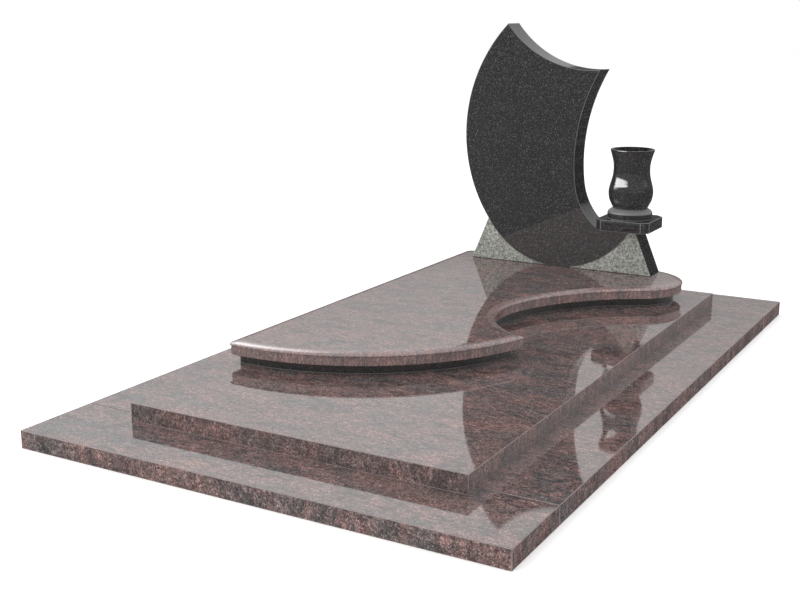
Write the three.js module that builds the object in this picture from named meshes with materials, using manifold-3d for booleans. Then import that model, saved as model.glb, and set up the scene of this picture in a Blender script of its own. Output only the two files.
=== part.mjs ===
// Grave monument: a granite ground frame, a tier slab, an S-shaped cap slab on a black spacer,
// a crescent stele with a flared foot, and a turned vase on a shelf plate.
// Millimetres. +X is to the right of someone at the foot of the grave, +Y runs to the stele, +Z is up.
// The origin is on the ground, at the middle of the ground frame.
import * as THREE from "three";
import { mergeVertices } from "three/addons/utils/BufferGeometryUtils.js";
import Module from "manifold-3d";

// Driving dimensions: the ground frame and the tier.
const baseWidth = 1400;
const baseLength = 2400;
const baseHeight = 50;
const stripWidth = 250;
const jointGap = 2;
const tierInset = 200;
const tierHeight = 50;
const arris = 3;

// Driving dimensions: the cap slab's plan, drawn as tangent arcs, and its moulded edge.
const capLeft = -495;
const capCorner = 20;
const capHeight = 40;
const frontArc = { x: -427, y: 95, radius: 689 };
const biteArc = { x: 354, y: 200.5, radius: 323 };
const armRadius = 648;
const endRadius = 171;
const biteToArm = THREE.MathUtils.degToRad(161.8);
const armToEnd = THREE.MathUtils.degToRad(119.4);
const rollHeight = 11.5;
const rollDepth = 30;
const rollOverhang = 3;
const soffitHeight = 2;
const spacerHeight = 30;
const spacerSetBack = 30;
const spacerSideSetBack = 15;

// Driving dimensions: the stele, drawn in its front plane with heights from the cap's top.
const steleFront = 848;
const steleThickness = 100;
const footMiddle = -51;
const footHalfWidth = 360;
const footSunk = 3;
const footTuck = 10;
const ledgeHeight = 161.5;
const rimArc = { x: 128, z: 486, radius: 572.5 };
const bellyRadius = 329;
const crownArc = { x: 50, z: 1140, radius: 411 };
const innerArc = { x: 664.5, z: 403, radius: 664.5 };
const nookRadius = 232;
const innerToNook = THREE.MathUtils.degToRad(187.7);

// Driving dimensions: the shelf plate and the vase.
const vaseX = 204;
const shelfWidth = 200;
const shelfHeight = 40;
const shelfCorner = 25;
const discRadius = 81;
const discWall = 19.5;
const discBrow = { radius: 76, z: 27.5 };
const vaseHeight = 250;
const vaseFoot = { radius: 62, z: 37 };
const vaseSwell = [
  [76.5, 68], [80.2, 95], [77.2, 116.5], [73.2, 131], [67.8, 152.5], [65.6, 175], [67.4, 205],
];
const lipRadius = 80;
const lipWall = 9;
const boreRadius = 56;
const boreFloor = 56;
const boreCorner = 8;
const boreStraightTo = 170;
const boreFlareFrom = 220;

// How finely the curves are cut, and the distance within which meeting points are one point.
const capSteps = { corner: 5, front: 22, bite: 12, arm: 14, end: 16, roll: 7 };
const steleSteps = { rim: 24, belly: 24, nook: 9, inner: 12, crown: 16 };
const vaseSteps = { swell: 22, flare: 6, around: 48 };
const weld = 1e-4;

// Levels and places that follow from them.
const tierTop = baseHeight + tierHeight;
const capBottom = tierTop + spacerHeight;
const capTop = capBottom + capHeight;
const shelfBottom = capTop + ledgeHeight;
const vaseBottom = shelfBottom + shelfHeight;
const vaseY = steleFront + steleThickness / 2;

const wasm = await Module();
wasm.setup();

const brownGranite = new THREE.MeshStandardMaterial({ color: 0x7a6765, roughness: 0.12, metalness: 0 });
const blackGranite = new THREE.MeshStandardMaterial({ color: 0x2b2c2c, roughness: 0.08, metalness: 0 });

const monument = new THREE.Group();

function addPiece(name, geometry, material) {
  const piece = new THREE.Mesh(geometry, material);
  piece.name = name;
  monument.add(piece);
  return piece;
}

// A slab with a small chamfer on every arris, standing on z = 0 and centred on x and y.
function easedSlab(width, length, height, corner) {
  const w = width / 2;
  const l = length / 2;
  const plan = new THREE.Shape([
    new THREE.Vector2(-w + corner, -l),
    new THREE.Vector2(w - corner, -l),
    new THREE.Vector2(w, -l + corner),
    new THREE.Vector2(w, l - corner),
    new THREE.Vector2(w - corner, l),
    new THREE.Vector2(-w + corner, l),
    new THREE.Vector2(-w, l - corner),
    new THREE.Vector2(-w, -l + corner),
  ]);
  const slab = new THREE.ExtrudeGeometry(plan, {
    depth: height - 2 * arris,
    bevelThickness: arris,
    bevelSize: arris,
    bevelOffset: -arris,
    bevelSegments: 1,
  });
  return slab.translate(0, 0, arris);
}

// Points along an arc from one angle to another, without the last one.
function arcPoints(centre, radius, from, to, steps) {
  const points = [];
  for (let i = 0; i < steps; i += 1) {
    const angle = from + ((to - from) * i) / steps;
    const reach = new THREE.Vector2(Math.cos(angle), Math.sin(angle)).multiplyScalar(radius);
    points.push(reach.add(centre));
  }
  return points;
}

// The centre of an arc that touches another arc at an angle; reach is the distance between the centres.
function touchingCentre(centre, angle, reach) {
  return new THREE.Vector2(centre.x + reach * Math.cos(angle), centre.y + reach * Math.sin(angle));
}

// The crossing of two circles that lies to the right of the line from the first centre to the second.
function circlesCross(first, firstRadius, second, secondRadius) {
  const span = second.clone().sub(first);
  const distance = span.length();
  const along = (firstRadius ** 2 - secondRadius ** 2 + distance ** 2) / (2 * distance);
  const across = Math.sqrt(firstRadius ** 2 - along ** 2);
  const direction = span.normalize();
  const right = new THREE.Vector2(direction.y, -direction.x);
  return first.clone().addScaledVector(direction, along).addScaledVector(right, across);
}

function angleOf(point, centre) {
  return Math.atan2(point.y - centre.y, point.x - centre.x);
}

function turnAbove(angle, limit) {
  return angle < limit ? angle + 2 * Math.PI : angle;
}

// The cap's plan, drawn in by an inset, counter-clockwise from the front left corner.
function capPlan(inset, sideInset) {
  const front = new THREE.Vector2(frontArc.x, frontArc.y);
  const bite = new THREE.Vector2(biteArc.x, biteArc.y);
  const arm = touchingCentre(bite, biteToArm, biteArc.radius - armRadius);
  const end = touchingCentre(arm, armToEnd, armRadius + endRadius);
  const frontRadius = frontArc.radius - inset;
  const biteRadius = biteArc.radius + inset;
  const back = end.y + endRadius - inset;
  const tip = circlesCross(front, frontRadius, bite, biteRadius);
  const biteStart = turnAbove(angleOf(tip, bite), 0);
  const cornerX = capLeft + sideInset + capCorner;
  const cornerDrop = Math.sqrt((frontRadius - capCorner) ** 2 - (cornerX - front.x) ** 2);
  const frontCorner = new THREE.Vector2(cornerX, front.y - cornerDrop);
  const backCorner = new THREE.Vector2(cornerX, back - capCorner);
  const frontStart = angleOf(frontCorner, front);
  return [
    ...arcPoints(frontCorner, capCorner, -Math.PI, frontStart, capSteps.corner),
    ...arcPoints(front, frontRadius, frontStart, angleOf(tip, front), capSteps.front),
    ...arcPoints(bite, biteRadius, biteStart, biteToArm, capSteps.bite),
    ...arcPoints(arm, armRadius + inset, biteToArm, armToEnd, capSteps.arm),
    ...arcPoints(end, endRadius - inset, armToEnd - Math.PI, Math.PI / 2, capSteps.end),
    new THREE.Vector2(end.x, back),
    ...arcPoints(backCorner, capCorner, Math.PI / 2, Math.PI, capSteps.corner),
    new THREE.Vector2(cornerX - capCorner, backCorner.y),
  ];
}

// A closed slab through plans that all have the same number of points, from the lowest to the highest.
function loftedSlab(levels) {
  const rings = levels.map(({ inset, sideInset }) => capPlan(inset, sideInset));
  const count = rings[0].length;
  const positions = [];
  const triangles = [];
  rings.forEach((ring, level) => {
    for (const point of ring) {
      positions.push(point.x, point.y, levels[level].z);
    }
  });
  for (let level = 0; level + 1 < rings.length; level += 1) {
    for (let i = 0; i < count; i += 1) {
      const a = level * count + i;
      const b = level * count + ((i + 1) % count);
      triangles.push(a, b, b + count, a, b + count, a + count);
    }
  }
  const lid = (rings.length - 1) * count;
  for (const [a, b, c] of THREE.ShapeUtils.triangulateShape(rings[0], [])) {
    triangles.push(a, c, b);
  }
  for (const [a, b, c] of THREE.ShapeUtils.triangulateShape(rings[rings.length - 1], [])) {
    triangles.push(lid + a, lid + b, lid + c);
  }
  const slab = new THREE.BufferGeometry();
  slab.setAttribute("position", new THREE.Float32BufferAttribute(positions, 3));
  slab.setIndex(triangles);
  slab.computeVertexNormals();
  return slab;
}

// The cap's edge from below: an upright face, a narrow soffit, then a flattened quarter round to the top.
function capLevels() {
  const springing = capTop - rollHeight;
  const levels = [
    { z: capBottom, inset: rollOverhang, sideInset: rollOverhang },
    { z: springing - soffitHeight, inset: rollOverhang, sideInset: rollOverhang },
  ];
  for (let i = 0; i <= capSteps.roll; i += 1) {
    const angle = (Math.PI / 2) * (i / capSteps.roll);
    const inset = rollDepth * (1 - Math.cos(angle));
    levels.push({ z: springing + rollHeight * Math.sin(angle), inset, sideInset: inset });
  }
  return levels;
}

function solidOf(geometry) {
  const bare = geometry.clone();
  bare.deleteAttribute("normal");
  bare.deleteAttribute("uv");
  const merged = mergeVertices(bare, weld);
  return new wasm.Manifold(new wasm.Mesh({
    numProp: 3,
    vertProperties: merged.attributes.position.array,
    triVerts: new Uint32Array(merged.index.array),
  }));
}

function geometryOf(solid) {
  const mesh = solid.getMesh();
  const geometry = new THREE.BufferGeometry();
  geometry.setAttribute("position", new THREE.BufferAttribute(new Float32Array(mesh.vertProperties), 3));
  geometry.setIndex(new THREE.BufferAttribute(new Uint32Array(mesh.triVerts), 1));
  geometry.computeVertexNormals();
  return geometry;
}

// An outline in the stele's front plane, made into an upright slab between two distances from the front.
function uprightSlab(points, from, to) {
  const outline = new THREE.Shape(points);
  const slab = new THREE.ExtrudeGeometry(outline, { depth: to - from, bevelEnabled: false });
  return slab.rotateX(Math.PI / 2).translate(0, steleFront + to, capTop);
}

// The crescent: a round rim and belly outside, two hollow curves for the crown and the inner side.
function crescentOutline() {
  const rim = new THREE.Vector2(rimArc.x, rimArc.z);
  const crown = new THREE.Vector2(crownArc.x, crownArc.z);
  const inner = new THREE.Vector2(innerArc.x, innerArc.z);
  const bellyDrop = rimArc.z - bellyRadius;
  const bellyShift = Math.sqrt((rimArc.radius - bellyRadius) ** 2 - bellyDrop ** 2);
  const belly = new THREE.Vector2(rimArc.x - bellyShift, bellyRadius);
  const rimToBelly = turnAbove(angleOf(belly, rim), 0);
  const nook = touchingCentre(inner, innerToNook, innerArc.radius - nookRadius);
  const crownTip = circlesCross(crown, crownArc.radius, rim, rimArc.radius);
  const sideTip = circlesCross(crown, crownArc.radius, inner, innerArc.radius);
  const bellyEnd = Math.asin((ledgeHeight - belly.y) / bellyRadius);
  const nookStart = Math.PI - Math.asin((ledgeHeight - nook.y) / nookRadius);
  const crownStart = angleOf(sideTip, crown);
  return [
    ...arcPoints(rim, rimArc.radius, angleOf(crownTip, rim), rimToBelly, steleSteps.rim),
    ...arcPoints(belly, bellyRadius, rimToBelly, bellyEnd + 2 * Math.PI, steleSteps.belly),
    touchingCentre(belly, bellyEnd, bellyRadius),
    ...arcPoints(nook, nookRadius, nookStart, innerToNook, steleSteps.nook),
    ...arcPoints(inner, innerArc.radius, innerToNook, angleOf(sideTip, inner), steleSteps.inner),
    ...arcPoints(crown, crownArc.radius, crownStart, angleOf(crownTip, crown), steleSteps.crown),
  ];
}

// The foot: a block with sloping flanks that meet the crescent's rim at the ledge's height.
// On the left its top runs a little way up inside the crescent.
function footOutline() {
  const rise = ledgeHeight - rimArc.z;
  const rimAtLedge = rimArc.x - Math.sqrt(rimArc.radius ** 2 - rise ** 2);
  const topHalfWidth = footMiddle - rimAtLedge;
  return [
    new THREE.Vector2(footMiddle - footHalfWidth, 0),
    new THREE.Vector2(footMiddle + footHalfWidth, 0),
    new THREE.Vector2(footMiddle + topHalfWidth, ledgeHeight),
    new THREE.Vector2(footMiddle, ledgeHeight),
    new THREE.Vector2(footMiddle - topHalfWidth + footTuck, ledgeHeight + footTuck),
    new THREE.Vector2(footMiddle - topHalfWidth, ledgeHeight),
  ];
}

function stele() {
  const crescent = solidOf(uprightSlab(crescentOutline(), 0, steleThickness));
  const foot = solidOf(uprightSlab(footOutline(), footSunk, steleThickness));
  return geometryOf(crescent.add(foot));
}

// The vase's section from the axis out, up the swelling side to the lip, and down the bore to its floor.
function vaseSection() {
  const swell = new THREE.SplineCurve([
    new THREE.Vector2(vaseFoot.radius, vaseFoot.z),
    ...vaseSwell.map(([radius, z]) => new THREE.Vector2(radius, z)),
    new THREE.Vector2(lipRadius, vaseHeight),
  ]);
  const flare = new THREE.QuadraticBezierCurve(
    new THREE.Vector2(lipRadius - lipWall, vaseHeight),
    new THREE.Vector2(boreRadius, boreFlareFrom),
    new THREE.Vector2(boreRadius, boreStraightTo),
  );
  return [
    new THREE.Vector2(0, 0),
    new THREE.Vector2(discRadius, 0),
    new THREE.Vector2(discRadius, discWall),
    new THREE.Vector2(discBrow.radius, discBrow.z),
    ...swell.getPoints(vaseSteps.swell),
    ...flare.getPoints(vaseSteps.flare),
    new THREE.Vector2(boreRadius, boreFloor + boreCorner),
    new THREE.Vector2(boreRadius - boreCorner, boreFloor),
    new THREE.Vector2(0, boreFloor),
  ];
}

function vase() {
  return new THREE.LatheGeometry(vaseSection(), vaseSteps.around).rotateX(Math.PI / 2);
}

// The ground frame: front and back strips over the full width, side strips between them.
const sideLength = baseLength - 2 * stripWidth - 2 * jointGap;
const stripFromMiddle = (baseLength - stripWidth) / 2;
const sideFromMiddle = (baseWidth - stripWidth) / 2;
for (const [name, side] of [["base_front", -1], ["base_back", 1]]) {
  const strip = easedSlab(baseWidth, stripWidth, baseHeight, arris);
  addPiece(name, strip, brownGranite).position.set(0, side * stripFromMiddle, 0);
}
for (const [name, side] of [["base_left", -1], ["base_right", 1]]) {
  const strip = easedSlab(stripWidth, sideLength, baseHeight, arris);
  addPiece(name, strip, brownGranite).position.set(side * sideFromMiddle, 0, 0);
}

// The tier, the spacer and the cap lie on one another.
const tierSlab = easedSlab(baseWidth - 2 * tierInset, baseLength - 2 * tierInset, tierHeight, arris);
addPiece("tier", tierSlab, brownGranite).position.set(0, 0, baseHeight);
const spacerLevels = [
  { z: tierTop, inset: spacerSetBack, sideInset: spacerSideSetBack },
  { z: capBottom, inset: spacerSetBack, sideInset: spacerSideSetBack },
];
addPiece("spacer", loftedSlab(spacerLevels), blackGranite);
addPiece("cap", loftedSlab(capLevels()), brownGranite);

// The stele stands on the cap, the shelf on the stele's ledge and the vase on the shelf.
addPiece("stele", stele(), blackGranite);
const shelfPlate = easedSlab(shelfWidth, shelfWidth, shelfHeight, shelfCorner);
addPiece("vase_shelf", shelfPlate, blackGranite).position.set(vaseX, vaseY, shelfBottom);
addPiece("vase", vase(), blackGranite).position.set(vaseX, vaseY, vaseBottom);

export default monument;
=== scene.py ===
import math

import bmesh
import bpy
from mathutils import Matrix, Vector, geometry, noise


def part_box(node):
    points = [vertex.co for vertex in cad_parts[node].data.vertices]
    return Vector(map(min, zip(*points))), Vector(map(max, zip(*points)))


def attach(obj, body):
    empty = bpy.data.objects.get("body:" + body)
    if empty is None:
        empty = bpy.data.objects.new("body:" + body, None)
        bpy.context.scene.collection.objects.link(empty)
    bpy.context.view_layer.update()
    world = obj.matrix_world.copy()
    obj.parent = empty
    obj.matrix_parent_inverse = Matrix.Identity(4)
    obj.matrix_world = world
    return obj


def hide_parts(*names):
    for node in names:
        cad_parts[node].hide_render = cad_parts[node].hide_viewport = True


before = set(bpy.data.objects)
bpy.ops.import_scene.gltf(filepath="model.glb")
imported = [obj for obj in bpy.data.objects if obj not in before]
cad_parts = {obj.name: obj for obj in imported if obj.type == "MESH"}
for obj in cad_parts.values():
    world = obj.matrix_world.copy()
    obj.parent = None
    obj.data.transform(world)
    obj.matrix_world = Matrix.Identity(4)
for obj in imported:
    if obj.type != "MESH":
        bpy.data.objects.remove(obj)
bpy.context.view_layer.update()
scene = bpy.context.scene
upAxis = (0, 0, 1)
frontAxis = (0, -1, 0)  # turns from +X to +Z in an upright plane
quarterTurn = math.pi / 2
hair = 1e-5  # metres, lengths below this count as nothing
polishedFace, groundFace = 0, 1  # finish numbers that all stones share
print("frame loaded:", len(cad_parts), "stones")


# node helpers, shared by all the finishes
def addNode(tree, kind, inputs=None, **settings):
    made = tree.nodes.new("ShaderNode" + kind)
    for key, value in settings.items():
        setattr(made, key, value)
    for key, value in (inputs or {}).items():
        made.inputs[key].default_value = value
    return made


def addRamp(tree, source, stops):
    ramp = addNode(tree, "ValToRGB")
    elements = ramp.color_ramp.elements
    elements.remove(elements[1])
    for index, (place, colour) in enumerate(stops):
        element = elements[0] if index == 0 else elements.new(place)
        element.position = place
        element.color = (*colour, 1)
    tree.links.new(source, ramp.inputs["Fac"])
    return ramp.outputs["Color"]


def mixColours(tree, how, first, second, amount=1.0):
    mix = addNode(tree, "Mix", data_type="RGBA", blend_type=how)
    if isinstance(amount, float):
        mix.inputs[0].default_value = amount
    else:
        tree.links.new(amount, mix.inputs[0])
    tree.links.new(first, mix.inputs[6])
    if isinstance(second, tuple):
        mix.inputs[7].default_value = (*second, 1)
    else:
        tree.links.new(second, mix.inputs[7])
    return mix.outputs[2]


def addNoise(tree, place, scale, detail=3.0, roughness=0.55, distortion=0.0):
    made = addNode(tree, "TexNoise", {"Scale": scale, "Detail": detail, "Roughness": roughness,
                                      "Distortion": distortion})
    tree.links.new(place, made.inputs["Vector"])
    return made.outputs["Fac"]


def addCells(tree, place, scale):
    made = addNode(tree, "TexVoronoi", {"Scale": scale})
    tree.links.new(place, made.inputs["Vector"])
    return made


def spread(tree, source, low, high, toLow, toHigh):
    made = addNode(tree, "MapRange", {"From Min": low, "From Max": high, "To Min": toLow, "To Max": toHigh})
    tree.links.new(source, made.inputs["Value"])
    return made.outputs["Result"]


def startFinish(name, shift=(0, 0, 0), turn=0.0, stretch=(1, 1, 1)):
    mat = bpy.data.materials.new(name)
    mat.use_nodes = True
    tree = mat.node_tree
    coords = addNode(tree, "TexCoord")
    mapping = addNode(tree, "Mapping", {"Location": shift, "Rotation": (0, 0, math.radians(turn)),
                                        "Scale": stretch})
    tree.links.new(coords.outputs["Object"], mapping.inputs["Vector"])
    return mat, tree, tree.nodes["Principled BSDF"], mapping.outputs["Vector"]


def joinFinish(tree, shader, colour, rough, height, strength, depth):
    tree.links.new(colour, shader.inputs["Base Color"])
    tree.links.new(rough, shader.inputs["Roughness"])
    bump = addNode(tree, "Bump", {"Strength": strength, "Distance": depth})
    tree.links.new(height, bump.inputs["Height"])
    tree.links.new(bump.outputs["Normal"], shader.inputs["Normal"])


# mauve-brown granite: soft grey and mauve clouds with salmon and dark drifts under a fine salt and pepper
# a noise is scale, detail, roughness, distortion; a share or gloss is low, high, value at low, value at high
# a bump is strength, depth in metres
brownStone = {
    "stretch": (1.0, 2.0, 0.8),
    "cloudNoise": (3.5, 4.0, 0.55, 1.2),
    "clouds": [(0.34, (0.116, 0.104, 0.107)), (0.48, (0.144, 0.108, 0.104)), (0.62, (0.178, 0.116, 0.109))],
    "salmonNoise": (9.0, 5.0, 0.62, 1.4), "salmonShare": (0.47, 0.64, 0.0, 0.75),
    "salmon": (0.245, 0.140, 0.127),
    "darkNoise": (11.0, 5.0, 0.62, 1.0), "darkShare": (0.50, 0.66, 0.0, 0.8),
    "dark": (0.056, 0.050, 0.052),
    "mottleNoise": (60.0, 4.0, 0.62, 0.4),
    "mottles": [(0.33, (0.55, 0.55, 0.56)), (0.50, (1.0, 1.0, 1.0)), (0.67, (1.52, 1.48, 1.46))],
    "crystalScale": 320.0,
    "crystals": [(0.0, (0.10, 0.10, 0.11)), (0.24, (0.60, 0.60, 0.61)), (0.60, (1.06, 1.05, 1.05)),
                 (0.90, (2.38, 2.46, 2.46))],
    "grainNoise": (520.0, 2.0), "grain": [(0.35, (0.72, 0.72, 0.72)), (0.65, (1.30, 1.28, 1.27))],
    "glossScale": 60.0, "gloss": (0.3, 0.7, 0.022, 0.05), "bump": (0.02, 0.0002), "ior": 2.4,
}
brownSawn = {
    "shift": (0.3, 0.1, 0.7), "turn": 4.0, "pale": (0.42, 0.37, 0.36), "paleShare": 0.5,
    "gloss": (0.3, 0.7, 0.32, 0.5), "bump": (0.25, 0.0004),
}
# the lift and the pale share paint the edge paler than the polished stone: partly its honed finish, partly a
# painted reflection of the sky
brownEdge = {
    "shift": (0.8, 3.3, 0.3), "turn": 2.0, "stretch": (2.2, 2.6, 0.6), "lift": (1.62, 1.55, 1.55),
    "pale": (0.25, 0.20, 0.195), "paleShare": 0.35,
    "gloss": (0.3, 0.7, 0.12, 0.22), "bump": (0.08, 0.0003), "ior": 2.1,
}


def brownPattern(tree, place):
    colour = addRamp(tree, addNoise(tree, place, *brownStone["cloudNoise"]), brownStone["clouds"])
    for drift in ("salmon", "dark"):
        patches = addNoise(tree, place, *brownStone[drift + "Noise"])
        share = spread(tree, patches, *brownStone[drift + "Share"])
        colour = mixColours(tree, "MIX", colour, brownStone[drift], share)
    mottles = addNoise(tree, place, *brownStone["mottleNoise"])
    colour = mixColours(tree, "MULTIPLY", colour, addRamp(tree, mottles, brownStone["mottles"]))
    cells = addCells(tree, place, brownStone["crystalScale"])
    crystals = addRamp(tree, cells.outputs["Color"], brownStone["crystals"])
    colour = mixColours(tree, "MULTIPLY", colour, crystals)
    grain = addNoise(tree, place, *brownStone["grainNoise"])
    colour = mixColours(tree, "MULTIPLY", colour, addRamp(tree, grain, brownStone["grain"]))
    return colour, cells.outputs["Distance"], grain


def brownGranite(name, shift, turn):
    mat, tree, shader, place = startFinish(name, shift, turn, brownStone["stretch"])
    colour, crystalHeight, _ = brownPattern(tree, place)
    rough = spread(tree, addNoise(tree, place, brownStone["glossScale"]), *brownStone["gloss"])
    joinFinish(tree, shader, colour, rough, crystalHeight, *brownStone["bump"])
    shader.inputs["IOR"].default_value = brownStone["ior"]
    return mat


def brownGround(name):  # the same stone where it is only ground, on arrises and sawn undersides
    mat, tree, shader, place = startFinish(name, brownSawn["shift"], brownSawn["turn"], brownStone["stretch"])
    colour, _, grain = brownPattern(tree, place)
    colour = mixColours(tree, "MIX", colour, brownSawn["pale"], brownSawn["paleShare"])
    rough = spread(tree, grain, *brownSawn["gloss"])
    joinFinish(tree, shader, colour, rough, grain, *brownSawn["bump"])
    return mat


def brownMoulded(name):  # the cap's moulded edge, honed paler and painted paler still as a stand-in for the sky's reflection on it, with the grain drawn along it
    mat, tree, shader, place = startFinish(name, brownEdge["shift"], brownEdge["turn"], brownEdge["stretch"])
    colour, _, grain = brownPattern(tree, place)
    colour = mixColours(tree, "MULTIPLY", colour, brownEdge["lift"])
    colour = mixColours(tree, "MIX", colour, brownEdge["pale"], brownEdge["paleShare"])
    rough = spread(tree, grain, *brownEdge["gloss"])
    joinFinish(tree, shader, colour, rough, grain, *brownEdge["bump"])
    shader.inputs["IOR"].default_value = brownEdge["ior"]
    return mat


# black granite: near black with fine pale specks
blackStone = {
    "cloudNoise": (90.0, 4.0, 0.6),
    "clouds": [(0.35, (0.008, 0.008, 0.0084)), (0.55, (0.012, 0.012, 0.0125)),
               (0.75, (0.020, 0.020, 0.0205))],
    "grainScale": 330.0,
    "grains": [(0.45, (0.7, 0.7, 0.7)), (0.75, (1.9, 1.9, 1.9)), (0.96, (6.0, 6.0, 6.0))],
    "fleckScale": 270.0, "fleckReach": (0.25, 0.42, 1.0, 0.0), "fleckChance": (0.48, 0.98, 0.0, 1.0),
    "glossScale": 90.0, "gloss": (0.3, 0.7, 0.018, 0.04), "bump": (0.015, 0.0002),
}
# pale share: honed grey on arrises, and a painted reflection where the vase's ovolo and lip take it
blackHonedAndPaintedReflection = {
    "shift": (0.2, 0.5, 0.1), "fleck": 0.2, "pale": (0.34, 0.34, 0.34), "paleShare": 0.5,
    "gloss": (0.0, 0.6, 0.28, 0.45), "bump": (0.2, 0.0004),
}


def blackPattern(tree, place, fleck):
    clouds = addRamp(tree, addNoise(tree, place, *blackStone["cloudNoise"]), blackStone["clouds"])
    cells = addCells(tree, place, blackStone["grainScale"])
    grains = addRamp(tree, cells.outputs["Color"], blackStone["grains"])
    colour = mixColours(tree, "MULTIPLY", clouds, grains)
    flecks = addCells(tree, place, blackStone["fleckScale"])
    near = spread(tree, flecks.outputs["Distance"], *blackStone["fleckReach"])
    drawn = addNode(tree, "SeparateColor")  # each cell's own random number
    tree.links.new(flecks.outputs["Color"], drawn.inputs["Color"])
    chosen = spread(tree, drawn.outputs["Red"], *blackStone["fleckChance"])
    both = addNode(tree, "Math", operation="MULTIPLY")
    tree.links.new(near, both.inputs[0])
    tree.links.new(chosen, both.inputs[1])
    colour = mixColours(tree, "MIX", colour, (fleck, fleck, fleck), both.outputs[0])
    return colour, cells.outputs["Distance"]


def blackGranite(name, shift, ior, fleck, lift=0.0):
    mat, tree, shader, place = startFinish(name, shift)
    colour, grainHeight = blackPattern(tree, place, fleck)
    if lift:  # a greyer block of the stone
        colour = mixColours(tree, "ADD", colour, (lift, lift, lift))
    rough = spread(tree, addNoise(tree, place, blackStone["glossScale"]), *blackStone["gloss"])
    joinFinish(tree, shader, colour, rough, grainHeight, *blackStone["bump"])
    shader.inputs["IOR"].default_value = ior
    return mat


def blackGround(name):  # arrises and honed faces, greyer where the polish is missing; on the vase's ovolo and lip this grey is a painted reflection of the sky
    mat, tree, shader, place = startFinish(name, blackHonedAndPaintedReflection["shift"])
    colour, grainHeight = blackPattern(tree, place, blackHonedAndPaintedReflection["fleck"])
    colour = mixColours(tree, "MIX", colour, blackHonedAndPaintedReflection["pale"], blackHonedAndPaintedReflection["paleShare"])
    rough = spread(tree, grainHeight, *blackHonedAndPaintedReflection["gloss"])
    joinFinish(tree, shader, colour, rough, grainHeight, *blackHonedAndPaintedReflection["bump"])
    return mat


# bush-hammered grey of the stele's foot: bruised pale stone with dark pits
hammeredStone = {
    "toneNoise": (130.0, 5.0, 0.7),
    "tones": [(0.32, (0.11, 0.114, 0.104)), (0.50, (0.385, 0.39, 0.358)), (0.68, (0.67, 0.675, 0.632))],
    "pitScale": 170.0, "pitReach": (0.18, 0.36, 0.75, 0.0), "pit": (0.06, 0.062, 0.058),
    "blowNoise": (95.0, 6.0, 0.75), "gloss": (0.3, 0.7, 0.72, 0.95), "bump": (0.8, 0.002), "shine": 0.25,
}


def hammered(name):
    mat, tree, shader, place = startFinish(name)
    tones = addRamp(tree, addNoise(tree, place, *hammeredStone["toneNoise"]), hammeredStone["tones"])
    pits = addCells(tree, place, hammeredStone["pitScale"])
    deep = spread(tree, pits.outputs["Distance"], *hammeredStone["pitReach"])
    colour = mixColours(tree, "MIX", tones, hammeredStone["pit"], deep)
    blows = addNoise(tree, place, *hammeredStone["blowNoise"])
    rough = spread(tree, blows, *hammeredStone["gloss"])
    joinFinish(tree, shader, colour, rough, blows, *hammeredStone["bump"])
    shader.inputs["Specular IOR Level"].default_value = hammeredStone["shine"]
    return mat


brownArris = brownGround("brown granite, ground")
capEdge = brownMoulded("brown granite, moulded edge")
blackArris = blackGround("black granite, ground and painted reflection")
footFace = hammered("bush-hammered granite")
print("finishes made")


# piece helpers
shaping = {
    "crease": math.radians(20.0),  # edges that turn more than this stay crisp
    "underside": -0.99,  # faces that look down more than this are left sawn
}


def keepPiece(name, bm, finishes, node):
    for face in bm.faces:
        face.smooth = True
    for edge in bm.edges:
        edge.smooth = edge.calc_face_angle(math.pi) < shaping["crease"]
    mesh = bpy.data.meshes.new(name)
    bm.to_mesh(mesh)
    bm.free()
    for finish in finishes:
        mesh.materials.append(finish)
    piece = bpy.data.objects.new(name, mesh)
    scene.collection.objects.link(piece)
    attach(piece, "root")
    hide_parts(node)
    print("made", name, "with", len(mesh.polygons), "faces")


def easeEdges(bm, edges, width, segments=2, mark=groundFace):
    eased = bmesh.ops.bevel(bm, geom=edges, offset=width, offset_type="OFFSET", affect="EDGES",
                            segments=segments, profile=0.5, material=-1, clamp_overlap=True)
    for face in eased["faces"]:
        face.material_index = mark


def blockIn(bm, low, high):
    made = bmesh.ops.create_cube(bm, size=1.0)
    bmesh.ops.scale(bm, vec=high - low, verts=made["verts"])
    bmesh.ops.translate(bm, vec=(low + high) / 2, verts=made["verts"])


def markUnderside(bm):
    for face in bm.faces:
        if face.normal.z < shaping["underside"]:
            face.material_index = groundFace


def pick(geom, kind):  # the items of one kind in an operator's result
    return [item for item in geom if isinstance(item, kind)]


def sweep(bm, start, centre, axis, turn, steps):  # draws an arc from a point, and gives its last point
    turned = bmesh.ops.spin(bm, geom=[start], cent=centre, axis=axis, dvec=(0, 0, 0), angle=turn, steps=steps,
                            use_merge=False, use_normal_flip=False, use_duplicate=False)
    return pick(turned["geom_last"], bmesh.types.BMVert)[0]


def angleTo(centre, point):
    return math.atan2(point[1] - centre[1], point[0] - centre[0])


def pointOn(centre, radius, angle):
    return Vector((centre[0] + radius * math.cos(angle), centre[1] + radius * math.sin(angle)))


# ground frame and tier: polished slabs with ground arrises
slabs = {
    "arris": 0.0016, "pointing": 0.0016,
    "stones": [  # piece name, node, pattern shift, pattern turn in degrees, pointed at its foot
        ("frontStrip", "base_front", (0.0, 0.0, 0.0), -3.0, False),
        ("backStrip", "base_back", (3.1, 0.7, 0.4), 4.0, False),
        ("leftStrip", "base_left", (1.7, 2.2, 0.9), 6.0, False),
        ("rightStrip", "base_right", (5.3, 1.4, 0.2), -5.0, False),
        ("tierSlab", "tier", (2.4, 4.1, 0.6), 9.0, True),
    ],
}


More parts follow.
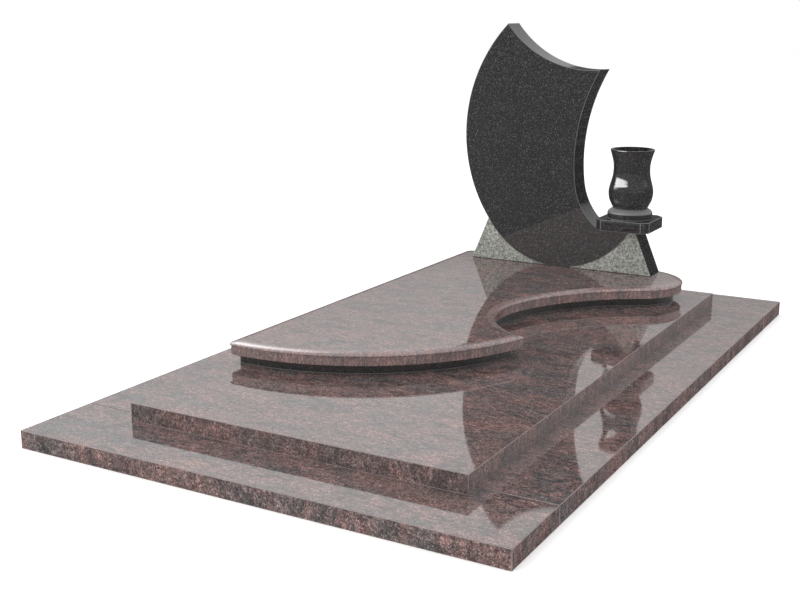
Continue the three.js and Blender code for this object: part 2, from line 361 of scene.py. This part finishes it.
def makeSlab(name, node, shift, turn, pointed):
    bm = bmesh.new()
    low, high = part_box(node)
    blockIn(bm, low, high)
    edges = bm.edges[:]
    if pointed:  # a pale line of pointing where the slab stands on the frame
        edges = [edge for edge in edges if max(v.co.z for v in edge.verts) > low.z + slabs["pointing"]]
    easeEdges(bm, edges, slabs["arris"])
    if pointed:
        line = low + Vector((0, 0, slabs["pointing"]))
        bmesh.ops.bisect_plane(bm, geom=bm.verts[:] + bm.edges[:] + bm.faces[:], dist=hair,
                               plane_co=line, plane_no=upAxis)
        for face in bm.faces:
            if face.calc_center_median().z < line.z:
                face.material_index = groundFace
    bm.normal_update()
    markUnderside(bm)
    polished = brownGranite(name + " granite", shift, turn)
    keepPiece(name, bm, [polished, brownArris], node)


for stone in slabs["stones"]:
    makeSlab(*stone)


# cap slab and its spacer: one plan of tangent arcs, drawn in at each level of the moulded edge
cap = {
    "left": -0.495, "corner": 0.020,
    "front": (-0.427, 0.095), "frontRadius": 0.689,
    "bite": (0.354, 0.2005), "biteRadius": 0.323,
    "armRadius": 0.648, "endRadius": 0.171,
    "biteToArm": math.radians(161.8), "armToEnd": math.radians(119.4),
    "bottom": 0.130, "top": 0.170, "rollHeight": 0.0115, "rollDepth": 0.030, "rollSteps": 14,
    "overhang": 0.003, "soffit": 0.002, "arris": 0.0015, "flat": 0.002,
    "cornerSteps": 8, "frontSteps": 56, "biteSteps": 34, "armSteps": 36, "endSteps": 44,
    "level": 0.999,  # faces less level than this take the moulded finish
    "polish": {"shift": (0.8, 3.3, 0.3), "turn": 2.0},
}
spacer = {
    "bottom": 0.100, "setBack": 0.030, "sideSetBack": 0.015, "pointing": 0.002,
    "polish": {"shift": (1.1, 0.4, 0.2), "ior": 2.15, "fleck": 0.15},
}
mouldedFace = 2  # the cap's third finish


def capRing(bm, inset, sideInset, height):
    known = set(bm.edges)
    front, bite = Vector(cap["front"]), Vector(cap["bite"])
    arm = pointOn(bite, cap["biteRadius"] - cap["armRadius"], cap["biteToArm"])
    end = pointOn(arm, cap["armRadius"] + cap["endRadius"], cap["armToEnd"])
    frontRadius, biteRadius = cap["frontRadius"] - inset, cap["biteRadius"] + inset
    crossings = geometry.intersect_sphere_sphere_2d(front, frontRadius, bite, biteRadius)
    tip = min(crossings, key=lambda point: point.y)
    back = end.y + cap["endRadius"] - inset
    side = cap["left"] + sideInset
    cornerX = side + cap["corner"]
    cornerY = front.y - math.sqrt((frontRadius - cap["corner"]) ** 2 - (cornerX - front.x) ** 2)
    frontCorner, backCorner = Vector((cornerX, cornerY)), Vector((cornerX, back - cap["corner"]))
    frontStart, frontEnd = angleTo(front, frontCorner), angleTo(front, tip)
    biteStart = angleTo(bite, tip) % math.tau

    start = bm.verts.new((side, cornerY, height))
    here = sweep(bm, start, frontCorner.to_3d(), upAxis, frontStart + math.pi, cap["cornerSteps"])
    here = sweep(bm, here, front.to_3d(), upAxis, frontEnd - frontStart, cap["frontSteps"])
    here = sweep(bm, here, bite.to_3d(), upAxis, cap["biteToArm"] - biteStart, cap["biteSteps"])
    here = sweep(bm, here, arm.to_3d(), upAxis, cap["armToEnd"] - cap["biteToArm"], cap["armSteps"])
    here = sweep(bm, here, end.to_3d(), upAxis, 3 * quarterTurn - cap["armToEnd"], cap["endSteps"])
    corner = bm.verts.new((cornerX, back, height))
    bm.edges.new((here, corner))
    here = sweep(bm, corner, backCorner.to_3d(), upAxis, quarterTurn, cap["cornerSteps"])
    bm.edges.new((here, start))
    return [edge for edge in bm.edges if edge not in known]


def loftRings(bm, rings):
    for lower, upper in zip(rings, rings[1:]):
        bmesh.ops.bridge_loops(bm, edges=lower + upper)
    bmesh.ops.contextual_create(bm, geom=rings[0])
    bmesh.ops.contextual_create(bm, geom=rings[-1])
    bmesh.ops.recalc_face_normals(bm, faces=bm.faces[:])


def makeCap():
    bm = bmesh.new()
    bottom, over, arris = cap["bottom"], cap["overhang"], cap["arris"]
    depth, rise = cap["rollDepth"], cap["rollHeight"]
    springing = cap["top"] - rise
    levels = [(over + arris, bottom), (over, bottom + arris), (over, springing - cap["soffit"])]
    for step in range(cap["rollSteps"] + 1):  # flattened quarter round
        angle = quarterTurn * step / cap["rollSteps"]
        levels.append((depth * (1 - math.cos(angle)), springing + rise * math.sin(angle)))
    levels.append((depth + cap["flat"], cap["top"]))
    loftRings(bm, [capRing(bm, inset, inset, height) for inset, height in levels])
    markUnderside(bm)
    for face in bm.faces:
        if abs(face.normal.z) < cap["level"]:
            face.material_index = mouldedFace
    polished = brownGranite("capSlab granite", **cap["polish"])
    keepPiece("capSlab", bm, [polished, brownArris, capEdge], "cap")


def makeSpacer():
    bm = bmesh.new()
    line = spacer["bottom"] + spacer["pointing"]  # top of the pale line it stands in
    heights = [spacer["bottom"], line, cap["bottom"]]
    loftRings(bm, [capRing(bm, spacer["setBack"], spacer["sideSetBack"], height) for height in heights])
    for face in bm.faces:
        if face.calc_center_median().z < line:
            face.material_index = groundFace
    polished = blackGranite("spacer granite", **spacer["polish"])
    keepPiece("spacerStone", bm, [polished, blackArris], "spacer")


makeCap()
makeSpacer()


# stele: a crescent on a flared foot whose fronts stand back a little and are bush-hammered
stele = {
    "front": 0.848, "thickness": 0.100, "ground": 0.170, "sunk": 0.003, "arris": 0.0016,
    "footMiddle": -0.051, "footHalfWidth": 0.360, "ledge": 0.1615,
    "rim": (0.128, 0.486), "rimRadius": 0.5725, "bellyRadius": 0.329,
    "crown": (0.050, 1.140), "crownRadius": 0.411,
    "inner": (0.6645, 0.403), "innerRadius": 0.6645, "nookRadius": 0.232, "innerToNook": math.radians(187.7),
    "rimSteps": 60, "lowRimSteps": 10, "bellySteps": 26, "nookSteps": 26, "innerSteps": 34, "crownSteps": 44,
    "dice": 0.003, "joint": 0.0018, "blow": 0.0011, "blowScale": 140.0,
    "polish": {"shift": (0, 0, 0), "ior": 2.6, "fleck": 0.22},
    "sides": {"shift": (0, 0, 0), "ior": 1.5, "fleck": 0.22},
}
hammeredFace, sideFace = 2, 3  # the stele's third and fourth finish


def onStele(point):  # across and up from the cap's top, in the plane of the foot's fronts
    return Vector((point[0], stele["front"] + stele["sunk"], point[1] + stele["ground"]))


def steleArc(bm, start, centre, turn, steps):
    known = set(bm.edges)
    last = sweep(bm, start, onStele(centre), frontAxis, turn, steps)
    return last, [edge for edge in bm.edges if edge not in known]


def leftCrossing(centre, radius, otherCentre, otherRadius):
    crossings = geometry.intersect_sphere_sphere_2d(centre, radius, otherCentre, otherRadius)
    return min(crossings, key=lambda point: point.x)


def drawStele(bm):  # three flat faces: the crescent, then the foot to its left and to its right
    rim, crown, inner = (Vector(stele[key]) for key in ("rim", "crown", "inner"))
    rimRadius, bellyRadius, nookRadius = stele["rimRadius"], stele["bellyRadius"], stele["nookRadius"]
    ledge, innerToNook, straightDown = stele["ledge"], stele["innerToNook"], 3 * quarterTurn
    bellyShift = math.sqrt((rimRadius - bellyRadius) ** 2 - (rim.y - bellyRadius) ** 2)
    belly = Vector((rim.x - bellyShift, bellyRadius))  # touches the rim's arc and the cap
    nook = pointOn(inner, stele["innerRadius"] - nookRadius, innerToNook)
    crownTip = leftCrossing(crown, stele["crownRadius"], rim, rimRadius)
    sideTip = leftCrossing(crown, stele["crownRadius"], inner, stele["innerRadius"])
    ledgeAngle = math.pi - math.asin((ledge - rim.y) / rimRadius)
    joinAngle = angleTo(rim, belly) % math.tau
    bellyEnd = math.tau + math.asin((ledge - belly.y) / bellyRadius)
    nookStart = math.pi - math.asin((ledge - nook.y) / nookRadius)
    innerTurn = angleTo(inner, sideTip) % math.tau - innerToNook
    crownTurn = angleTo(crown, crownTip) - angleTo(crown, sideTip)

    # once round, from the crown's tip down the rim, along the belly, up the inner side and back
    start = bm.verts.new(onStele(crownTip))
    rimLedge, rimEdges = steleArc(bm, start, rim, ledgeAngle - angleTo(rim, crownTip), stele["rimSteps"])
    here, lowRim = steleArc(bm, rimLedge, rim, joinAngle - ledgeAngle, stele["lowRimSteps"])
    bellyLow, leftBelly = steleArc(bm, here, belly, straightDown - joinAngle, stele["bellySteps"])
    ledgeEnd, rightBelly = steleArc(bm, bellyLow, belly, bellyEnd - straightDown, stele["bellySteps"])
    nookVert = bm.verts.new(onStele(pointOn(nook, nookRadius, nookStart)))
    ledgeEdge = bm.edges.new((ledgeEnd, nookVert))
    here, nookEdges = steleArc(bm, nookVert, nook, innerToNook - nookStart, stele["nookSteps"])
    here, innerEdges = steleArc(bm, here, inner, innerTurn, stele["innerSteps"])
    here, crownEdges = steleArc(bm, here, crown, crownTurn, stele["crownSteps"])
    bmesh.ops.weld_verts(bm, targetmap={here: start})
    crownEdges = [edge for edge in crownEdges if edge.is_valid]
    lastEdge = [edge for edge in start.link_edges if edge not in rimEdges and edge not in crownEdges]

    # the foot either side of the belly
    middle, halfWidth = stele["footMiddle"], stele["footHalfWidth"]
    leftToe = bm.verts.new(onStele((middle - halfWidth, 0)))
    rightToe = bm.verts.new(onStele((middle + halfWidth, 0)))
    rightTop = bm.verts.new(onStele((2 * middle - rimLedge.co.x, ledge)))
    leftLine = ((rimLedge, leftToe), (leftToe, bellyLow))
    rightLine = ((bellyLow, rightToe), (rightToe, rightTop), (rightTop, ledgeEnd))
    leftFoot, rightFoot = ([bm.edges.new(ends) for ends in line] for line in (leftLine, rightLine))

    upper = rimEdges + [ledgeEdge] + nookEdges + innerEdges + crownEdges + lastEdge
    crescent = upper + lowRim + leftBelly + rightBelly
    outlines = (crescent, lowRim + leftBelly + leftFoot, rightBelly + rightFoot)
    fronts = [bmesh.ops.contextual_create(bm, geom=outline)["faces"][0] for outline in outlines]
    for face in fronts:
        face.normal_update()
        if face.normal.y > 0:
            face.normal_flip()
    for face in fronts[1:]:
        face.material_index = hammeredFace
    return fronts


def thickenStele(bm, fronts):  # back and sides, then the crescent's front brought forward
    copied = bmesh.ops.duplicate(bm, geom=fronts)["geom"]
    backFaces = pick(copied, bmesh.types.BMFace)
    toBack = (0, stele["thickness"] - stele["sunk"], 0)
    bmesh.ops.translate(bm, vec=toBack, verts=pick(copied, bmesh.types.BMVert))
    bmesh.ops.reverse_faces(bm, faces=backFaces)
    for face in backFaces:
        face.material_index = polishedFace
    openEdges = [edge for edge in bm.edges if edge.is_boundary]
    for face in bmesh.ops.bridge_loops(bm, edges=openEdges)["faces"]:
        face.material_index = sideFace
    bmesh.ops.dissolve_faces(bm, faces=backFaces)
    raised = bmesh.ops.extrude_face_region(bm, geom=fronts[:1])["geom"]
    bmesh.ops.delete(bm, geom=fronts[:1], context="FACES_ONLY")  # or it stays behind, inside the stone
    bmesh.ops.translate(bm, vec=(0, -stele["sunk"], 0), verts=pick(raised, bmesh.types.BMVert))
    bmesh.ops.recalc_face_normals(bm, faces=bm.faces[:])
    return pick(raised, bmesh.types.BMFace)[0]


def hammerFoot(bm):  # dices the foot's fronts, strikes them and leaves a dark joint below
    low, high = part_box("stele")
    dice, jointTop = stele["dice"], low.z + stele["joint"]
    for axis, first, last in ((0, low.x, high.x), (2, jointTop - dice, stele["ground"] + stele["ledge"])):
        normal = Vector((0, 0, 0))
        normal[axis] = 1
        for cut in range(1, int((last - first) / dice) + 1):
            struck = [face for face in bm.faces if face.material_index == hammeredFace]
            edges = {edge for face in struck for edge in face.edges}
            verts = {vert for face in struck for vert in face.verts}
            bmesh.ops.bisect_plane(bm, geom=struck + list(edges) + list(verts), dist=hair,
                                   plane_co=normal * (first + cut * dice), plane_no=normal)
    for vert in bm.verts:
        if all(face.material_index == hammeredFace for face in vert.link_faces):
            vert.co.y += stele["blow"] * noise.noise(vert.co * stele["blowScale"])
    for face in bm.faces:
        if face.material_index == hammeredFace and face.calc_center_median().z < jointTop:
            face.material_index = sideFace


def makeStele():
    bm = bmesh.new()
    crescent = thickenStele(bm, drawStele(bm))
    backPlane = stele["front"] + stele["thickness"]
    arrises = list(crescent.edges)
    for edge in bm.edges:  # round the back too, but not along the ground
        onBack = all(abs(v.co.y - backPlane) < hair for v in edge.verts)
        if onBack and min(v.co.z for v in edge.verts) > stele["ground"] + hair:
            arrises.append(edge)
    easeEdges(bm, arrises, stele["arris"])
    hammerFoot(bm)
    polished = blackGranite("stele granite", **stele["polish"])
    sides = blackGranite("stele side granite", **stele["sides"])
    keepPiece("steleStone", bm, [polished, blackArris, footFace, sides], "stele")


makeStele()


# shelf plate: square with cut corners
shelf = {
    "cornerCut": 0.025, "arris": 0.002,
    "polish": {"shift": (0.6, 0.2, 0.9), "ior": 2.0, "fleck": 0.19, "lift": 0.008},
}


def makeShelf():
    bm = bmesh.new()
    blockIn(bm, *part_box("vase_shelf"))
    upright = [edge for edge in bm.edges if abs(edge.verts[0].co.z - edge.verts[1].co.z) > hair]
    easeEdges(bm, upright, shelf["cornerCut"], segments=1, mark=polishedFace)
    easeEdges(bm, bm.edges[:], shelf["arris"])
    polished = blackGranite("shelf granite", **shelf["polish"])
    keepPiece("vaseShelf", bm, [polished, blackArris], "vase_shelf")


makeShelf()


# vase: turned on its axis, hollow, with a disc foot; gauge points are radius, height
vase = {
    "disc": 0.081, "discWall": 0.0195, "pointing": 0.002, "brow": [(0.081, 0.025), (0.074, 0.0315)],
    "foot": (0.062, 0.037),
    "swell": [(0.0765, 0.068), (0.0802, 0.095), (0.0772, 0.1165), (0.0732, 0.131), (0.0678, 0.1525),
              (0.0656, 0.175), (0.0674, 0.205)],
    "height": 0.250, "lip": 0.080, "lipWall": 0.009, "lipEase": 0.0015, "lipRound": (0.0009, 0.0018),
    "bore": 0.056, "boreFloor": 0.056, "boreCorner": 0.008, "boreRound": 0.0024,
    "boreStraightTo": 0.170, "boreFlareFrom": 0.220,
    "spanSteps": 9, "flareSteps": 14, "around": 128, "lean": 0.001,
    "polish": {"shift": (0.4, 0.1, 0.3), "ior": 1.7, "fleck": 0.15, "lift": 0.017},
    "drilled": {"shift": (0.4, 0.1, 0.3), "ior": 1.25, "fleck": 0.15},
}
boreFace = 2  # the vase's third finish


def smoothThrough(points, steps):  # a smooth line through the turner's gauge points
    line = []
    for index in range(len(points) - 1):
        before, a = points[max(index - 1, 0)], points[index]
        b, after = points[index + 1], points[min(index + 2, len(points) - 1)]
        line += geometry.interpolate_bezier(a, a + (b - before) / 6, b - (after - a) / 6, b, steps)[:-1]
    return line + [points[-1]]


def bendTowards(start, pull, end, steps):  # a curve drawn towards one point
    return geometry.interpolate_bezier(start, start.lerp(pull, 2 / 3), end.lerp(pull, 2 / 3), end, steps)


def vaseSection():  # from the axis out, up the swelling side, over the lip and down the bore
    def gauge(radius, height):
        return Vector((radius, 0, height))

    disc, height, lip, bore = vase["disc"], vase["height"], vase["lip"], vase["bore"]
    floor, corner, rounding = vase["boreFloor"], vase["boreCorner"], vase["boreRound"]
    innerLip, lipEase = lip - vase["lipWall"], vase["lipEase"]
    lipIn, lipDown = vase["lipRound"]
    swell = [gauge(*point) for point in (vase["foot"], *vase["swell"], (lip, height))]
    brow = [gauge(*point) for point in vase["brow"]]
    ovolo = geometry.interpolate_bezier(gauge(disc, vase["discWall"]), *brow, swell[0], vase["spanSteps"])
    side = smoothThrough(swell, vase["spanSteps"])
    flare = bendTowards(gauge(innerLip, height), gauge(bore, vase["boreFlareFrom"]),
                        gauge(bore, vase["boreStraightTo"]), vase["flareSteps"])
    foot = [gauge(0, 0), gauge(disc, 0), gauge(disc, vase["pointing"])]
    mouth = [gauge(lip - lipIn, height - lipDown), gauge(lip - lipEase, height),
             gauge(innerLip + lipEase, height)]
    bottom = [gauge(bore, floor + corner), gauge(bore - rounding, floor + rounding),
              gauge(bore - corner, floor), gauge(0, floor)]
    return foot + ovolo + side[1:-1] + mouth + flare[1:] + bottom


def makeVase():
    bm = bmesh.new()
    section = vaseSection()
    here = bm.verts.new(section[0])
    for point in section[1:]:  # the section is drawn by pulling one point along it
        here = bmesh.ops.extrude_vert_indiv(bm, verts=[here])["verts"][0]
        here.co = point
    bmesh.ops.spin(bm, geom=bm.verts[:] + bm.edges[:], cent=(0, 0, 0), axis=upAxis, dvec=(0, 0, 0),
                   angle=math.tau, steps=vase["around"], use_merge=True, use_normal_flip=False,
                   use_duplicate=False)
    bmesh.ops.remove_doubles(bm, verts=bm.verts[:], dist=hair)
    bmesh.ops.recalc_face_normals(bm, faces=bm.faces[:])
    mouth = vase["height"] - hair
    for face in bm.faces:  # the ovolo over the disc and the lip take the pale ground grey as a painted reflection of the sky on their polish; the joint below is only honed
        middle = face.calc_center_median()
        ovolo = vase["discWall"] < middle.z < vase["foot"][1]
        # the pale ground grey given here to the ovolo and the lip is a painted reflection
        if ovolo or middle.z < vase["pointing"] or middle.z > mouth:
            face.material_index = groundFace
        outward = Vector((middle.x, middle.y, -vase["lean"]))  # leans, so that the bore's floor looks inward
        if face.normal.dot(outward) < 0 and vase["boreFloor"] - hair < middle.z < mouth:
            face.material_index = boreFace
    low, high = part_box("vase")
    bmesh.ops.translate(bm, vec=((low.x + high.x) / 2, (low.y + high.y) / 2, low.z), verts=bm.verts[:])
    polished = blackGranite("vase granite", **vase["polish"])
    drilled = blackGranite("vase bore granite", **vase["drilled"])
    keepPiece("turnedVase", bm, [polished, blackArris, drilled], "vase")


makeVase()


# plain pale floor and soft studio light
studio = {
    "floor": {"size": 40.0, "squares": 8, "toneScale": 1.5, "tones": [(0.3, 0.93), (0.7, 0.96)],
              "roughness": 0.9, "glow": 0.08},
    # mirrored greys by height, from 0 straight down to 1 straight up, behind the stele and in front of it
    "behind": [(0.50, 0.12), (0.588, 0.14), (0.606, 0.62), (0.63, 0.74), (0.66, 0.88), (0.70, 0.97)],
    "infront": [(0.49, 0.15), (0.52, 0.34), (0.70, 0.40), (0.88, 1.0)],
    "heights": (-1.0, 1.0, 0.0, 1.0), "frontToBack": (-0.1, 0.4, 0.0, 1.0),
    "mirrorByX": (-0.45, -0.2, 1.0, 0.84), "lightByX": (-0.7, 0.7, 1.26, 0.68),  # brighter from the left
    "key": {"place": (-3.0, -4.0, 3.8), "aim": (0.0, 0.2, 0.2), "size": (4.0, 4.0), "power": 60.0},
    "wash": {"place": (0.0, 0.0, 6.0), "aim": (0.0, 0.0, 0.0), "size": (12.0, 12.0), "power": 310.0},
    "glints": [  # full is how far from its middle a lamp stays bright, where its edge is at 0.5
        {"piece": "turnedVase", "place": (-1.56, -0.87, 1.48), "aim": (0.204, 0.898, 0.50),
         "size": (5.2, 0.9), "power": 150.0, "full": 0.3, "roll": 13.0},
        {"piece": "capSlab", "place": (-2.0, 0.2, 1.9), "aim": (-0.38, -0.55, 0.165),
         "size": (2.4, 2.4), "power": 75.0, "full": 0.1, "roll": 0.0},
    ],
}
white = (1, 1, 1, 1)


def greys(stops):
    return [(place, (grey, grey, grey)) for place, grey in stops]


def makeFloor():
    floor = studio["floor"]
    bm = bmesh.new()
    bmesh.ops.create_grid(bm, x_segments=floor["squares"], y_segments=floor["squares"], size=floor["size"])
    mesh = bpy.data.meshes.new("paleFloor")
    bm.to_mesh(mesh)
    bm.free()
    mat, tree, shader, place = startFinish("pale floor")
    tones = addRamp(tree, addNoise(tree, place, floor["toneScale"]), greys(floor["tones"]))
    tree.links.new(tones, shader.inputs["Base Color"])
    shader.inputs["Roughness"].default_value = floor["roughness"]
    shader.inputs["Specular IOR Level"].default_value = 0.0
    shader.inputs["Emission Color"].default_value = white
    shader.inputs["Emission Strength"].default_value = floor["glow"]
    mesh.materials.append(mat)
    paleFloor = bpy.data.objects.new("paleFloor", mesh)
    scene.collection.objects.link(paleFloor)
    paleFloor.visible_glossy = False  # the polish mirrors the studio, not the floor


def makeSky():
    world = bpy.data.worlds.new("studio")
    world.use_nodes = True
    tree = world.node_tree
    lit = tree.nodes["Background"]  # what lights the stones
    lit.inputs["Color"].default_value = white
    seen = addNode(tree, "Background", {"Color": white, "Strength": 1.0})  # what shows behind them
    mirrored = addNode(tree, "Background")  # what the polish mirrors
    coords = addNode(tree, "TexCoord")
    parts = addNode(tree, "SeparateXYZ")
    tree.links.new(coords.outputs["Generated"], parts.inputs[0])
    tree.links.new(spread(tree, parts.outputs["X"], *studio["lightByX"]), lit.inputs["Strength"])
    height = spread(tree, parts.outputs["Z"], *studio["heights"])
    behind = addRamp(tree, height, greys(studio["behind"]))
    infront = addRamp(tree, height, greys(studio["infront"]))
    facing = spread(tree, parts.outputs["Y"], *studio["frontToBack"])
    tree.links.new(mixColours(tree, "MIX", infront, behind, facing), mirrored.inputs["Color"])
    tree.links.new(spread(tree, parts.outputs["X"], *studio["mirrorByX"]), mirrored.inputs["Strength"])
    path = addNode(tree, "LightPath")
    result = lit.outputs[0]
    for ray, instead in (("Is Glossy Ray", mirrored), ("Is Camera Ray", seen)):
        choice = addNode(tree, "MixShader")
        tree.links.new(path.outputs[ray], choice.inputs[0])
        tree.links.new(result, choice.inputs[1])
        tree.links.new(instead.outputs[0], choice.inputs[2])
        result = choice.outputs[0]
    tree.links.new(result, tree.nodes["World Output"].inputs["Surface"])
    scene.world = world


def makeLamp(name, place, aim, size, power):
    lamp = bpy.data.lights.new(name, "AREA")
    lamp.shape = "RECTANGLE"
    lamp.size, lamp.size_y = size
    lamp.energy = power
    light = bpy.data.objects.new(name, lamp)
    light.location = place
    light.rotation_euler = (Vector(aim) - Vector(place)).to_track_quat("-Z", "Y").to_euler()
    light.visible_camera = False
    scene.collection.objects.link(light)
    return light


def lightOnly(light, pieceName):  # the lamp reaches this one object
    group = bpy.data.collections.new(light.name)
    group.objects.link(bpy.data.objects[pieceName])
    light.light_linking.receiver_collection = group


def makeGlint(piece, place, aim, size, power, full, roll):  # a soft-edged window that one piece mirrors
    light = makeLamp(piece + "Glint", place, aim, size, power)
    light.rotation_euler.rotate_axis("Z", math.radians(roll))
    light.visible_diffuse = False
    light.data.use_nodes = True
    tree = light.data.node_tree
    middle, edge = (0.5, 0.5, 0), 0.5  # a lamp's face runs from 0 to 1 each way
    across = addNode(tree, "NewGeometry")
    away = addNode(tree, "VectorMath", {1: middle}, operation="DISTANCE")
    tree.links.new(across.outputs["Parametric"], away.inputs[0])
    fade = spread(tree, away.outputs["Value"], full, edge, 1.0, 0.0)
    tree.links.new(fade, tree.nodes["Emission"].inputs["Strength"])
    lightOnly(light, piece)


def makeWash():  # keeps the floor near white, so that only a faint contact shadow is left
    light = makeLamp("floorWash", **studio["wash"])
    light.data.use_shadow = False
    lightOnly(light, "paleFloor")


makeFloor()
makeSky()
key = makeLamp("key", **studio["key"])
key.visible_glossy = False  # lights the stones, but shows no window in their polish
makeWash()
for glint in studio["glints"]:
    makeGlint(**glint)
scene.view_settings.view_transform = "Standard"
print("studio lit")

# camera where the photograph was taken from
view = {"place": (1.5965, -3.2219, 1.1136), "look": (-0.4828, 0.8423, -0.2397), "lens": 53.1, "sensor": 36.0}
lens = bpy.data.cameras.new("camera")
lens.sensor_fit = "HORIZONTAL"
lens.sensor_width = view["sensor"]
lens.lens = view["lens"]
camera = bpy.data.objects.new("camera", lens)
camera.location = view["place"]
camera.rotation_euler = Vector(view["look"]).to_track_quat("-Z", "Y").to_euler()
scene.collection.objects.link(camera)
scene.camera = camera
print("camera set")
